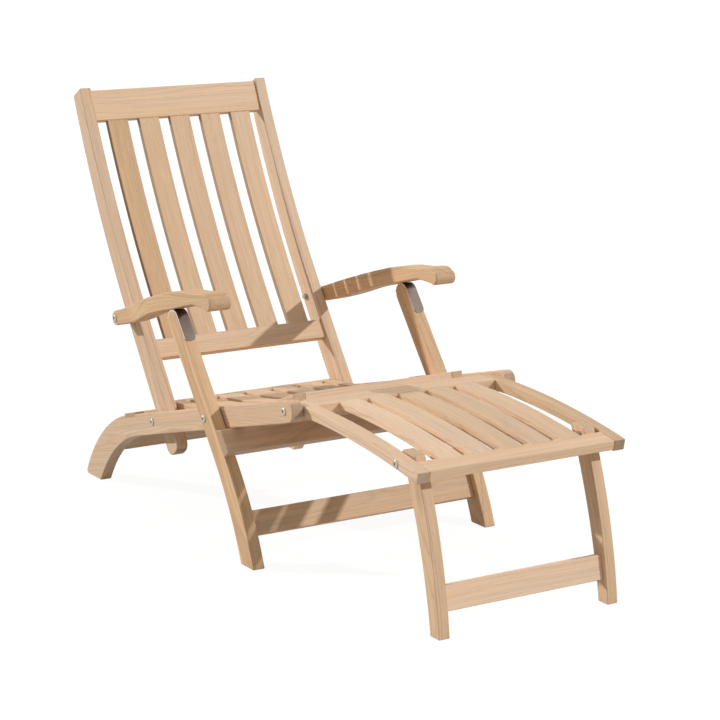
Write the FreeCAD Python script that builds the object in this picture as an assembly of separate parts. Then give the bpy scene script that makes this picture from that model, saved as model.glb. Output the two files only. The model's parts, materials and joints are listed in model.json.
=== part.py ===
import FreeCAD, Part
import os
from math import acos, atan2, cos, degrees, hypot, radians, sin, sqrt, tan

os.makedirs("parts", exist_ok=True)

# Teak steamer deck chair, millimetres. +Z is up, +Y points to the backrest, -Y to the footrest.
# The chair is symmetric about X = 0. Left is the -X side, right is the +X side.
# Everything is laid out from the bolt that joins front leg and side rail, then moved at the end
# so that the origin is the bottom centre of the whole chair.

# Overall driving sizes
FRAME_WIDTH = 602.0          # over the outer faces of the two front legs
LEG_PIVOT_HEIGHT = 273.0     # front leg bolt above the floor
RAIL_RISE = 14.7             # degrees that the side rails climb towards the footrest
BACK_TO_LEG = 300.8          # backrest bolt to front leg bolt, along the rail
LEG_TO_FOOTREST = 287.7      # front leg bolt to footrest bolt, along the rail
BACK_LENGTH = 800.0          # backrest bolt to the top of the stiles, along the stile
FOOTREST_LENGTH = 438.0      # footrest bolt to the front face of the footrest

# Layers across the width
BOARD = 27.0                 # thickness of chair legs, side rails, stiles and footrest rails
WASHER_GAP = 2.5             # gap that a washer fills between two pivoting boards
SPACER_GAP = 4.0             # gap between footrest rail and footrest leg
SEAT_GAP = 8.0               # gap between the inner face of a stile and the seat frame

# Side rail and the rear leg that it curves into
RAIL_ABOVE = 20.0            # rail top above the line of the bolts
RAIL_BELOW_REAR = 30.0       # rail bottom below that line where the rear leg begins
RAIL_BELOW_FRONT = 24.0      # rail bottom below that line at the front end
RAIL_TAIL = 78.0             # backrest bolt back to the start of the rear leg's inner curve
RAIL_NOSE = 31.0             # footrest bolt to the front end of the rail
RAIL_NOSE_RADIUS = 20.0
REAR_LEG_START = 118.0       # backrest bolt back to the start of the outer curve
REAR_LEG_RADIUS = 329.0      # outer curve of the rear leg
REAR_LEG_INNER_RADIUS = 314.0
REAR_LEG_STEEPEST = 75.0     # degrees below horizontal that the curve would reach
REAR_HEEL_RADIUS = 8.0       # rounding of the rear leg's heel
TIE_BAR_WIDTH = 52.0
TIE_BAR_THICKNESS = 12.0
TIE_BAR_PROUD = 4.0          # tie bar above the rail tops
TIE_BAR_SETBACK = 81.0       # backrest bolt back to the tie bar
STRETCHER_HEIGHT = 52.0
STRETCHER_THICKNESS = 20.0
REAR_STRETCHER_ANGLE = 49.9  # place on the rear leg's curve, degrees from horizontal
REAR_STRETCHER_INSET = 28.0  # middle of the stretcher behind the leg's inner curve
REAR_STRETCHER_LEAN = 62.0

# Seat frame, laid out along the rail (from the backrest bolt) and above the line of the bolts
SEAT_REAR = -28.0
SEAT_TO_FOOTREST = 67.5      # front of the seat to the footrest bolt
SEAT_REAR_TOP = 40.4
SEAT_FRONT_TOP = 30.0
SEAT_DIP = 23.3              # depth of the hollow in the seat
SEAT_SIDE_BOTTOM = -10.0
SEAT_REAR_RAIL_WIDTH = 18.0
SEAT_FRONT_RAIL_WIDTH = 22.0
SEAT_RAIL_DEPTH = 34.0
SEAT_SLAT_THICKNESS = 14.0
SEAT_BATTEN_WIDTH = 40.0
SEAT_BATTEN_THICKNESS = 14.0
BEARER_WIDTH = 45.0
BEARER_THICKNESS = 18.0
REAR_BEARER_PLACE = 122.0    # centre of the rear bearer, from the backrest bolt
FRONT_BEARER_SETBACK = 51.0  # centre of the front bearer behind the front of the seat
REAR_BATTEN_SHARE = 0.37     # places of the battens along the seat
FRONT_BATTEN_SHARE = 0.69

# Slats
SLAT_COUNT = 5
SEAT_SLAT_GAP = 19.0         # between the slats of the seat, and of the footrest
SEAT_SLAT_SIDE_GAP = 16.0    # between the outer slats and the sides of the seat frame
BACK_SLAT_GAP = 28.0
BACK_SLAT_SIDE_GAP = 29.0
SLAT_HOUSING = 8.0           # depth that a slat end is let into its rail
TENON = 12.0                 # length of the tenons
TENON_WIDTH_SHARE = 0.6      # tenon's width as a share of its board's width
TENON_THICKNESS_SHARE = 0.45
HOUSING_OVERRUN = 5.0        # a cut that makes a housing starts this far above the rail's face

# Front legs
LEG_LEAN = 51.9              # degrees of the upper leg from horizontal
LEG_FOOT_LEAN = 69.0         # degrees of the foot from horizontal
LEG_HALF = 22.0              # half depth of the leg
LEG_FOOT_HALF = 24.5
LEG_BEND_RADIUS = 740.0
LEG_BEND_HEIGHT = 107.0      # height where the two directions would meet
LEG_BOLT_OFFSET = 8.0        # bolt behind the middle of the leg
LEG_STRETCHER_HEIGHT = 79.0  # middle of the lower front stretcher above the floor
STOP_BOARD_THICKNESS = 21.0
STOP_BOARD_DEPTH = 61.0
STOP_CLEARANCE = 0.4         # stop board to the undersides of the rails

# Leg stops: angled steel plates that come to rest on top of the rails
STOP_PLATE_THICKNESS = 1.5
STOP_TAB_THICKNESS = 4.0
STOP_TAB_START = 29.0        # along the rail, behind the leg bolt
STOP_TAB_LENGTH = 26.0
STOP_TAB_WIDTH = 24.0
STOP_TAB_CLEARANCE = 0.3

# Backrest
BACK_LEAN = 54.6             # degrees of the lower stile from horizontal
BACK_STRAIGHT = 257.0        # length of the straight lower part
BACK_CURVE_RADIUS = 2565.0
BACK_TAIL = 80.0             # stile below its bolt
BACK_HALF_LOW = 25.5         # half depth of the stile at the bolt
BACK_HALF_TOP = 20.5
BACK_END_SLANT = 6.0         # rear edge of the stile's end below its front edge
BACK_TOP_RAIL_HEIGHT = 72.0
BACK_TOP_RAIL_DROP = 6.0     # stile tops above the top rail
BACK_TOP_RAIL_INSET = 4.5    # top rail behind the front edges of the stiles
BACK_BOTTOM_RAIL_START = 140.0
BACK_BOTTOM_RAIL_HEIGHT = 45.0
BACK_BOTTOM_RAIL_INSET = 6.5
BACK_RAIL_THICKNESS = 20.0
BACK_SLAT_THICKNESS = 12.0
BACK_SLAT_REAR = 1.0         # rear face of the slats from the stile's middle line

# Arms, laid out along the arm from its bolt and above the line through it
ARM_RISE = 15.6              # degrees that the arm climbs towards the front
ARM_BOLT_UP = 257.9          # backrest bolt to arm bolt
ARM_BOLT_LEAN = 52.5         # degrees of that line from horizontal
ARM_LENGTH = 498.0
ARM_END_RADIUS = 16.5
ARM_TOP = 29.0               # highest part of the arm above its line
ARM_UNDERSIDE = 8.0          # flat underside below its line
ARM_REAR_THICKNESS = 35.5    # across the width, at the bolt
ARM_FRONT_INSET = 8.5        # inner edge of the arm's front, further out than at the bolt
ARM_FRONT_WIDTH = 52.0
ARM_GROOVE_WIDTH = 9.0
ARM_GROOVE_DEPTH = 13.0
ARM_GROOVE_BEHIND = 61.0     # groove behind the tongue of the leg's bracket
ARM_GROOVE_TO_NOSE = 92.0    # groove's front end to the front of the arm

# Steel brackets on the tops of the front legs
BRACKET_THICKNESS = 2.5
BRACKET_WIDTH = 26.0
BRACKET_DROP = 61.0          # leg top centre to the lower end of the bracket
BRACKET_CLEARANCE = 0.6      # bracket to the underside of the arm
TONGUE_THICKNESS = 5.0
TONGUE_REACH = 26.0          # leg top centre to the middle of the tongue's round end
TONGUE_RADIUS = 6.5
TONGUE_LEAN = 50.0           # degrees of the tongue from horizontal

# Footrest
FOOTREST_ABOVE = 13.0        # footrest top above its bolt
FOOTREST_RAIL_DEPTH = 23.0
FOOTREST_BEHIND = 19.0       # footrest behind its bolt
FOOTREST_FLAT = 36.0         # flat part in front of the bolt
FOOTREST_CURVE_RADIUS = 2092.0
FOOTREST_REAR_RAIL_WIDTH = 55.0
FOOTREST_FRONT_RAIL_WIDTH = 46.0
FOOTREST_CROSS_THICKNESS = 20.5
FOOTREST_SLAT_THICKNESS = 14.0
FOOTREST_BATTEN_WIDTH = 32.0
FOOTREST_BATTEN_THICKNESS = 11.0
FOOTREST_BATTEN_PLACE = 268.0
FOOTREST_BATTEN_INSET = 25.0   # batten's ends behind the outer sides of the outer slats
FOOTREST_LEG_PLACE = 363.0   # footrest bolt to the footrest leg's bolt, along the footrest
FOOTREST_LEG_KICK = 90.0     # foot in front of its bolt
FOOTREST_LEG_BOW = 12.4
FOOTREST_LEG_THICKNESS = 25.0
FOOTREST_LEG_HALF_TOP = 20.0
FOOTREST_LEG_HALF_MID = 18.0
FOOTREST_LEG_HALF_FOOT = 14.5
FOOTREST_LEG_REAR_TOP = 30.0     # rear corner of the leg's top above its bolt
FOOTREST_LEG_FRONT_TOP = 8.0     # front corner of the leg's top above its bolt
FOOTREST_LEG_TOP_RADIUS = 6.0
FOOTREST_STRETCHER_HEIGHT = 70.0
FOOTREST_STRETCHER_DEPTH = 50.0
FOOTREST_STRETCHER_THICKNESS = 18.0

# Fasteners
BOLT_RADIUS = 4.0
RUNNING_CLEARANCE = 0.05     # between bolt and hole
SIDE_CLEARANCE = 0.1         # between a washer and a board
HEAD_RADIUS = 8.2
HEAD_HEIGHT = 3.0
SOCKET_RADIUS = 3.2
SOCKET_DEPTH = 2.2
WASHER_RADIUS = 11.0
NUT_RADIUS = 7.3
NUT_THICKNESS = 6.5

EASE = 2.0                   # rounding of the wooden edges
ARM_EASE = 4.0

V = FreeCAD.Vector
AXIS_X = V(1, 0, 0)
FAR = 3000.0

# Layer positions across the width, measured from the middle
LEG_OUT = FRAME_WIDTH / 2
LEG_IN = LEG_OUT - BOARD
RAIL_OUT = LEG_IN - WASHER_GAP
RAIL_IN = RAIL_OUT - BOARD
LANE_OUT = RAIL_IN - WASHER_GAP      # stiles and footrest rails run in this lane
LANE_IN = LANE_OUT - BOARD
SEAT_FRONT = BACK_TO_LEG + LEG_TO_FOOTREST - SEAT_TO_FOOTREST
SEAT_OUT = LANE_IN - SEAT_GAP
SEAT_IN = SEAT_OUT - BOARD
FOOT_OUT = LANE_IN - SPACER_GAP
FOOT_IN = FOOT_OUT - FOOTREST_LEG_THICKNESS
ARM_IN = LANE_OUT + WASHER_GAP


def heading(angle):
    """Unit vector in the side view, in degrees from +Y towards +Z."""
    return V(0, cos(radians(angle)), sin(radians(angle)))


def left_of(direction):
    """The direction turned a quarter turn from +Y towards +Z."""
    return V(0, -direction.z, direction.y)


def angle_of(vector):
    return degrees(atan2(vector.z, vector.y))


def meet(p, d, q, e):
    """Where the line through p along d crosses the line through q along e."""
    gap = q - p
    along = (gap.y * e.z - gap.z * e.y) / (d.y * e.z - d.z * e.y)
    return p + d * along


# The four bolts that everything turns on, in the side view
TO_FRONT = heading(180.0 - RAIL_RISE)
RAIL_UP = heading(90.0 - RAIL_RISE)
LEG_BOLT = V(0, 0, LEG_PIVOT_HEIGHT)
BACK_BOLT = LEG_BOLT - TO_FRONT * BACK_TO_LEG
FOOTREST_BOLT = LEG_BOLT + TO_FRONT * LEG_TO_FOOTREST
ARM_BOLT = BACK_BOLT + heading(ARM_BOLT_LEAN) * ARM_BOLT_UP


def on_rail(along, up):
    """A point given along the rail from the backrest bolt and above the line of the bolts."""
    return BACK_BOLT + TO_FRONT * along + RAIL_UP * up


def line(p, q):
    return Part.makeLine(p, q)


def arc(p, q, r):
    return Part.Arc(p, q, r).toShape()


def rounded(corners):
    """Edges of a closed outline from (point, radius) corners, each rounded by its radius."""
    cuts = []
    count = len(corners)
    for i in range(count):
        before = corners[i - 1][0]
        here, radius = corners[i]
        after = corners[(i + 1) % count][0]
        if radius <= 0:
            cuts.append((here, None, here))
            continue
        back = (before - here).normalize()
        ahead = (after - here).normalize()
        half = acos(back.dot(ahead)) / 2
        inward = (back + ahead).normalize()
        reach = radius / tan(half)
        middle = here + inward * (radius / sin(half) - radius)
        cuts.append((here + back * reach, middle, here + ahead * reach))
    edges = []
    for i in range(count):
        start, middle, end = cuts[i]
        if middle is not None:
            edges.append(arc(start, middle, end))
        following = cuts[(i + 1) % count][0]
        if (following - end).Length > 1e-6:
            edges.append(line(end, following))
    return edges


def plain(points):
    return rounded([(p, 0) for p in points])


def bar(edges, x_low, x_high):
    """A board with the side view outline of the edges, between two places across the width."""
    face = Part.Face(Part.Wire(edges))
    face.translate(V(x_low, 0, 0))
    return face.extrude(V(x_high - x_low, 0, 0))


def block(middle, direction, length, thickness, x_low, x_high):
    """A board whose side view is a rectangle about a middle point."""
    along = direction * (length / 2)
    across = left_of(direction) * (thickness / 2)
    corners = [middle - along - across, middle + along - across,
               middle + along + across, middle - along + across]
    return bar(plain(corners), x_low, x_high)


def rod(centre, radius, x_low, x_high):
    return Part.makeCylinder(radius, x_high - x_low, V(x_low, centre.y, centre.z), AXIS_X)


def drilled(shape, centres):
    """The board with a hole for a bolt at each centre."""
    for centre in centres:
        shape = shape.cut(rod(centre, BOLT_RADIUS + RUNNING_CLEARANCE, -FAR, FAR))
    return shape


def above_floor(shape):
    return shape.common(Part.makeBox(2 * FAR, 2 * FAR, FAR, V(-FAR, -FAR, 0)))


def eased(shape, radius=EASE):
    """The board with all its edges rounded."""
    return shape.makeFillet(radius, shape.Edges)


def sharp_edges(shape):
    """The edges where two faces meet at a corner, not where they run on smoothly."""
    found = []
    for edge in shape.Edges:
        middle = edge.valueAt((edge.FirstParameter + edge.LastParameter) / 2)
        normals = [face.normalAt(*face.Surface.parameter(middle))
                   for face in shape.ancestorsOfType(edge, Part.Face)]
        if len(normals) == 2 and normals[0].getAngle(normals[1]) > 0.25:
            found.append(edge)
    return found


def mirrored(shape):
    return shape.mirror(V(0, 0, 0), AXIS_X)


def slat_places(reach, side_gap, gap):
    """Low and high sides of the slats that fill the width from -reach to reach."""
    start = -reach + side_gap
    width = (-2 * start - (SLAT_COUNT - 1) * gap) / SLAT_COUNT
    return [(start + i * (width + gap), start + i * (width + gap) + width)
            for i in range(SLAT_COUNT)]


def seat_slat_places():
    return slat_places(SEAT_IN, SEAT_SLAT_SIDE_GAP, SEAT_SLAT_GAP)


def back_slat_places():
    return slat_places(LANE_IN, BACK_SLAT_SIDE_GAP, BACK_SLAT_GAP)


def bolt(centre, x_head, x_end, side):
    """A round headed bolt across the chair, with its head at x_head, on the side -1 or 1."""
    low, high = sorted((side * x_head, side * x_end))
    shank = rod(centre, BOLT_RADIUS, low, high)
    seat = V(side * x_head, centre.y, centre.z)
    head = Part.makeCylinder(HEAD_RADIUS, HEAD_HEIGHT, seat, AXIS_X * side)
    rim = [e for e in head.Edges if abs(e.BoundBox.Center.x - side * (x_head + HEAD_HEIGHT)) < 0.01]
    head = head.makeFillet(HEAD_HEIGHT * 0.8, rim)
    mouth = V(side * (x_head + HEAD_HEIGHT - SOCKET_DEPTH), centre.y, centre.z)
    socket = hexagon(mouth, SOCKET_RADIUS, SOCKET_DEPTH + 1, side)
    return head.fuse(shank).removeSplitter().cut(socket)


def hexagon(centre, radius, length, side):
    """A six sided prism that starts at centre and runs outwards on the side -1 or 1."""
    corners = [centre + heading(60.0 * i) * radius for i in range(7)]
    return Part.Face(Part.makePolygon(corners)).extrude(AXIS_X * (side * length))


def nut(centre, x_face, side):
    """A nut against the inner face at x_face."""
    start = V(side * x_face, centre.y, centre.z)
    body = hexagon(start, NUT_RADIUS, NUT_THICKNESS, -side)
    return body.cut(rod(centre, BOLT_RADIUS, -FAR, FAR))


def washer(centre, x_low, x_high, radius, side):
    low, high = sorted((side * (x_low + SIDE_CLEARANCE), side * (x_high - SIDE_CLEARANCE)))
    ring = rod(centre, radius, low, high)
    return ring.cut(rod(centre, BOLT_RADIUS + RUNNING_CLEARANCE, -FAR, FAR))


def pair(make):
    """What make(side) gives for the left and the right side."""
    return [make(-1), make(1)]


# Seat curve: the circle through its rear, middle and front points, in rail coordinates
def seat_circle():
    chord = SEAT_FRONT - SEAT_REAR
    rise = SEAT_FRONT_TOP - SEAT_REAR_TOP
    half = hypot(chord, rise) / 2
    radius = (half * half + SEAT_DIP * SEAT_DIP) / (2 * SEAT_DIP)
    tilt = atan2(rise, chord)
    middle = (SEAT_REAR + SEAT_FRONT) / 2
    level = (SEAT_REAR_TOP + SEAT_FRONT_TOP) / 2
    reach = radius - SEAT_DIP
    return middle - reach * sin(tilt), level + reach * cos(tilt), radius


SEAT_MIDDLE, SEAT_CENTRE_UP, SEAT_RADIUS = seat_circle()


def seat_point(along, depth=0.0):
    """A point of the seat's curve, or of the curve that lies deeper below it."""
    across = along - SEAT_MIDDLE
    up = SEAT_CENTRE_UP - sqrt((SEAT_RADIUS + depth) ** 2 - across ** 2)
    return on_rail(along, up)


def seat_layer(start, end, top, bottom, x_low, x_high):
    """A curved board of the seat from start to end, between two depths below its surface."""
    middle = (start + end) / 2
    edges = [
        arc(seat_point(start, top), seat_point(middle, top), seat_point(end, top)),
        line(seat_point(end, top), seat_point(end, bottom)),
        arc(seat_point(end, bottom), seat_point(middle, bottom), seat_point(start, bottom)),
        line(seat_point(start, bottom), seat_point(start, top)),
    ]
    return bar(edges, x_low, x_high)


def rear_leg_centre():
    """Centre of the rear leg's inner curve."""
    return on_rail(-RAIL_TAIL, -RAIL_BELOW_REAR - REAR_LEG_INNER_RADIUS)


def side_rail_outline():
    down = TO_FRONT * -1
    steep = heading(-REAR_LEG_STEEPEST)
    reach = tan(radians(REAR_LEG_STEEPEST - RAIL_RISE) / 2)
    front = BACK_TO_LEG + LEG_TO_FOOTREST + RAIL_NOSE
    top_corner = on_rail(-REAR_LEG_START, RAIL_ABOVE) + down * (REAR_LEG_RADIUS * reach)
    low_corner = on_rail(-RAIL_TAIL, -RAIL_BELOW_REAR) + down * (REAR_LEG_INNER_RADIUS * reach)
    return rounded([
        (on_rail(front, RAIL_ABOVE), RAIL_NOSE_RADIUS),
        (top_corner, REAR_LEG_RADIUS),
        (top_corner + steep * (REAR_LEG_RADIUS * reach * 1.5), 0),
        (low_corner + steep * (REAR_LEG_RADIUS * reach * 1.5), 0),
        (low_corner, REAR_LEG_INNER_RADIUS),
        (on_rail(front, -RAIL_BELOW_FRONT), RAIL_NOSE_RADIUS),
    ])


def stretcher(middle, direction, depth, thickness, x_inner):
    """A cross board between two side boards and its tenons, as (whole board, tenons)."""
    body = eased(block(middle, direction, depth, thickness, -x_inner, x_inner))
    reach = x_inner + TENON
    tenon = block(middle, direction, depth * TENON_WIDTH_SHARE,
                  thickness * TENON_THICKNESS_SHARE, -reach, reach)
    return body.fuse(tenon).removeSplitter(), tenon


def rear_stretcher_parts():
    radius = REAR_LEG_INNER_RADIUS + REAR_STRETCHER_INSET
    middle = rear_leg_centre() + heading(REAR_STRETCHER_ANGLE) * radius
    down = heading(-REAR_STRETCHER_LEAN)
    return stretcher(middle, down, STRETCHER_HEIGHT, STRETCHER_THICKNESS, RAIL_IN)


def tie_bar():
    middle = on_rail(-TIE_BAR_SETBACK - TIE_BAR_WIDTH / 2,
                     RAIL_ABOVE + TIE_BAR_PROUD - TIE_BAR_THICKNESS / 2)
    return eased(block(middle, TO_FRONT, TIE_BAR_WIDTH, TIE_BAR_THICKNESS, -RAIL_OUT, RAIL_OUT))


def bearer_parts(place):
    """A cross board under the seat frame, with its tenons."""
    middle = on_rail(place, SEAT_SIDE_BOTTOM - BEARER_THICKNESS / 2)
    return stretcher(middle, TO_FRONT, BEARER_WIDTH, BEARER_THICKNESS, RAIL_IN)


def side_rail(holes, cutters):
    rail = above_floor(bar(side_rail_outline(), -RAIL_OUT, -RAIL_IN))
    rearmost = rail.BoundBox.YMax
    heel = [e for e in rail.Edges if e.BoundBox.XLength > BOARD / 2
            and e.BoundBox.YMin > rearmost - 1 and e.BoundBox.ZMax < 1]
    rail = eased(rail.makeFillet(REAR_HEEL_RADIUS, heel))
    for cutter in cutters:
        rail = rail.cut(cutter)
    return drilled(rail, holes)


def seat_side():
    middle = (SEAT_REAR + SEAT_FRONT) / 2
    rear_low = on_rail(SEAT_REAR, SEAT_SIDE_BOTTOM)
    front_low = on_rail(SEAT_FRONT, SEAT_SIDE_BOTTOM)
    edges = [
        arc(seat_point(SEAT_REAR), seat_point(middle), seat_point(SEAT_FRONT)),
        line(seat_point(SEAT_FRONT), front_low),
        line(front_low, rear_low),
        line(rear_low, seat_point(SEAT_REAR)),
    ]
    return eased(bar(edges, -SEAT_OUT, -SEAT_IN))


def seat_rail_parts(start, end):
    """A cross rail of the seat frame from start to end along the rail, with its tenons."""
    body = eased(seat_layer(start, end, 0, SEAT_RAIL_DEPTH, -SEAT_IN, SEAT_IN))
    reach = SEAT_IN + TENON
    quarter = (end - start) / 4
    low = SEAT_RAIL_DEPTH * 0.75
    tenon = seat_layer(start + quarter, end - quarter, SEAT_RAIL_DEPTH * 0.35, low, -reach, reach)
    return body.fuse(tenon).removeSplitter(), tenon


def seat_slat_board(place, top):
    """A slat between the rails of the seat frame, square edged, from a depth of top down."""
    start = SEAT_REAR + SEAT_REAR_RAIL_WIDTH - SLAT_HOUSING
    end = SEAT_FRONT - SEAT_FRONT_RAIL_WIDTH + SLAT_HOUSING
    return seat_layer(start, end, top, SEAT_SLAT_THICKNESS, *place)


def seat_slat(place):
    return eased(seat_slat_board(place, 0))


def seat_batten(place):
    """A board across under the slats, between the sides of the seat frame."""
    here = seat_point(place, SEAT_SLAT_THICKNESS)
    ahead = (seat_point(place + 1, SEAT_SLAT_THICKNESS) - here).normalize()
    below = left_of(ahead) * (SEAT_BATTEN_THICKNESS / 2)
    middle = here + below
    return eased(block(middle, ahead, SEAT_BATTEN_WIDTH, SEAT_BATTEN_THICKNESS, -SEAT_IN, SEAT_IN))


# Front leg: two straight directions joined by a large curve
def leg_axis():
    """A point on the middle line of the upper leg, and its upward direction."""
    upward = heading(LEG_LEAN)
    return LEG_BOLT + left_of(upward) * LEG_BOLT_OFFSET, upward


def leg_bend():
    start, upward = leg_axis()
    level = V(0, 1, 0)
    return meet(start, upward, V(0, 0, LEG_BEND_HEIGHT), level)


def arm_frame(along, up):
    """A point given along the arm from its bolt and above the arm's line."""
    return ARM_BOLT + heading(180.0 - ARM_RISE) * along + heading(90.0 - ARM_RISE) * up


def leg_top():
    """Centre of the round top of the leg, just below the underside of the arm."""
    start, upward = leg_axis()
    gap = ARM_UNDERSIDE + LEG_HALF + BRACKET_THICKNESS + BRACKET_CLEARANCE
    return meet(start, upward, arm_frame(0, -gap), heading(180.0 - ARM_RISE))


def front_leg_outline():
    top = leg_top()
    upward = heading(LEG_LEAN)
    foot_up = heading(LEG_FOOT_LEAN)
    bend = leg_bend()
    foot = bend - foot_up * (LEG_BEND_HEIGHT * 1.6)
    sides = []
    for sign in (1, -1):
        upper = top + left_of(upward) * (sign * LEG_HALF)
        lower = foot + left_of(foot_up) * (sign * LEG_FOOT_HALF)
        corner = meet(upper, upward, lower, foot_up)
        sides.append((upper, corner, lower))
    front, rear = sides
    cap = upward * LEG_HALF
    radius = LEG_HALF
    return rounded([
        (front[0] + cap, radius),
        (front[1], LEG_BEND_RADIUS - LEG_HALF),
        (front[2], 0),
        (rear[2], 0),
        (rear[1], LEG_BEND_RADIUS + LEG_HALF),
        (rear[0] + cap, radius),
    ])


def leg_middle_at(height):
    """A point of the leg's middle line on its large curve, and the leg's direction there."""
    mean = heading((LEG_LEAN + LEG_FOOT_LEAN) / 2)
    half_turn = radians((LEG_FOOT_LEAN - LEG_LEAN) / 2)
    centre = leg_bend() - left_of(mean) * (LEG_BEND_RADIUS / cos(half_turn))
    rise = height - centre.z
    point = V(0, centre.y - sqrt(LEG_BEND_RADIUS ** 2 - rise ** 2), height)
    outward = (point - centre).normalize()
    return point, left_of(outward) * -1


def front_stretcher_parts():
    middle, direction = leg_middle_at(LEG_STRETCHER_HEIGHT)
    return stretcher(middle, direction, STRETCHER_HEIGHT, STRETCHER_THICKNESS, LEG_IN)


def rail_bottom():
    """A point on the underside of the straight rail, and its direction towards the front."""
    front = BACK_TO_LEG + LEG_TO_FOOTREST + RAIL_NOSE
    rear_point = on_rail(-RAIL_TAIL, -RAIL_BELOW_REAR)
    return rear_point, (on_rail(front, -RAIL_BELOW_FRONT) - rear_point).normalize()


def stop_board():
    """Board on the fronts of the legs that comes to rest under the side rails."""
    start, upward = leg_axis()
    outward = left_of(upward)
    face = start + outward * LEG_HALF
    low_rail, forward = rail_bottom()
    low_rail = low_rail - left_of(forward) * -STOP_CLEARANCE
    rear_top = meet(face, upward, low_rail, forward)
    front_top = meet(face + outward * STOP_BOARD_THICKNESS, upward, low_rail, forward)
    rear_low = rear_top - upward * STOP_BOARD_DEPTH
    front_low = rear_low + outward * STOP_BOARD_THICKNESS
    corners = [rear_top, rear_low, front_low, front_top]
    return eased(bar(plain(corners), -LEG_OUT, LEG_OUT))


def leg_stop(side):
    """Plate on the inner face of the leg, with a tab that rests on top of the rail."""
    start = BACK_TO_LEG - STOP_TAB_START - STOP_TAB_LENGTH
    end = BACK_TO_LEG - STOP_TAB_START
    low = RAIL_ABOVE + STOP_TAB_CLEARANCE
    high = low + STOP_TAB_THICKNESS
    gap = (WASHER_GAP - STOP_PLATE_THICKNESS) / 2
    outer = LEG_IN
    tab = bar(plain([on_rail(start, low), on_rail(end, low), on_rail(end, high), on_rail(start, high)]),
              outer - gap - STOP_TAB_WIDTH, outer)
    plate = bar(plain([on_rail(start, -12.0), on_rail(end + 16.0, -12.0), on_rail(end + 16.0, high),
                       on_rail(start, high)]), outer - gap - STOP_PLATE_THICKNESS, outer - gap)
    pad = bar(plain([on_rail(end, -6.0), on_rail(end + 12.0, -6.0), on_rail(end + 12.0, 14.0),
                     on_rail(end, 14.0)]), outer - gap, outer)
    tab = tab.cut(Part.makeBox(gap, 2 * FAR, 2 * FAR, V(outer - gap, -FAR, -FAR)))
    shape = plate.fuse([tab, pad]).removeSplitter()
    return shape if side > 0 else mirrored(shape)


def bracket(side):
    """Steel strap over the round top of the leg, with the tongue that stands into the arm."""
    top = leg_top()
    upward = heading(LEG_LEAN)
    outward = left_of(upward)
    inner = LEG_HALF
    outer = LEG_HALF + BRACKET_THICKNESS
    low = top - upward * BRACKET_DROP
    back = heading(LEG_LEAN - 50.0)
    edges = [
        line(low + outward * inner, top + outward * inner),
        arc(top + outward * inner, top + upward * inner, top + back * inner),
        line(top + back * inner, top + back * outer),
        arc(top + back * outer, top + upward * outer, top + outward * outer),
        line(top + outward * outer, low + outward * outer),
        line(low + outward * outer, low + outward * inner),
    ]
    middle = (LEG_OUT + LEG_IN) / 2
    strap = bar(edges, middle - BRACKET_WIDTH / 2, middle + BRACKET_WIDTH / 2)
    corners = [e for e in strap.Edges
               if (e.BoundBox.Center - V(e.BoundBox.Center.x, low.y, low.z)).Length < outer + 1
               and e.BoundBox.XLength < 0.01 and abs(e.Length - BRACKET_THICKNESS) < 0.01]
    strap = strap.makeFillet(BRACKET_WIDTH * 0.45, corners)
    tip = top + heading(TONGUE_LEAN) * TONGUE_REACH
    half = TONGUE_THICKNESS / 2
    disc = rod(tip, TONGUE_RADIUS, middle - half, middle + half)
    plate = block((top + tip) / 2, heading(TONGUE_LEAN), TONGUE_REACH, TONGUE_RADIUS * 2,
                  middle - half, middle + half)
    shape = strap.fuse([disc, plate]).removeSplitter()
    return shape if side > 0 else mirrored(shape)


# Backrest stile: straight at the bolt, then a large curve towards the top
def back_point(along, offset=0.0):
    """A point along the stile's middle line from the bolt, moved to the front by offset."""
    direction = heading(BACK_LEAN)
    if along <= BACK_STRAIGHT:
        point = BACK_BOLT + direction * along
        return point + left_of(direction) * offset
    centre = BACK_BOLT + direction * BACK_STRAIGHT + left_of(direction) * BACK_CURVE_RADIUS
    turn = degrees((along - BACK_STRAIGHT) / BACK_CURVE_RADIUS)
    outward = heading(BACK_LEAN - 90.0 + turn)
    return centre + outward * (BACK_CURVE_RADIUS - offset)


def back_direction(along):
    turn = max(0.0, along - BACK_STRAIGHT) / BACK_CURVE_RADIUS
    return heading(BACK_LEAN + degrees(turn))


def back_half(along):
    """Half depth of the stile, which tapers from its bolt to its top."""
    share = max(0.0, along) / BACK_LENGTH
    return BACK_HALF_LOW + (BACK_HALF_TOP - BACK_HALF_LOW) * share


def stile():
    middle = (BACK_STRAIGHT + BACK_LENGTH) / 2

    def edge(along, sign):
        return back_point(along, sign * back_half(along))

    top_rear = BACK_LENGTH - BACK_END_SLANT

    low = heading(BACK_LEAN) * -BACK_TAIL
    side = left_of(heading(BACK_LEAN)) * BACK_HALF_LOW
    front_low = BACK_BOLT + low + side
    rear_low = BACK_BOLT + low - side
    edges = [
        line(front_low, edge(0, 1)),
        line(edge(0, 1), edge(BACK_STRAIGHT, 1)),
        arc(edge(BACK_STRAIGHT, 1), edge(middle, 1), edge(BACK_LENGTH, 1)),
        line(edge(BACK_LENGTH, 1), edge(top_rear, -1)),
        arc(edge(top_rear, -1), edge(middle, -1), edge(BACK_STRAIGHT, -1)),
        line(edge(BACK_STRAIGHT, -1), edge(0, -1)),
        line(edge(0, -1), rear_low),
        line(rear_low, front_low),
    ]
    board = bar(edges, -LANE_OUT, -LANE_IN)
    tail = [e for e in board.Edges if e.BoundBox.XLength > BOARD / 2
            and min((e.BoundBox.Center - V(e.BoundBox.Center.x, p.y, p.z)).Length
                    for p in (front_low, rear_low)) < 0.1]
    return eased(board.makeFillet(BACK_HALF_LOW * 0.8, tail))


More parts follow.
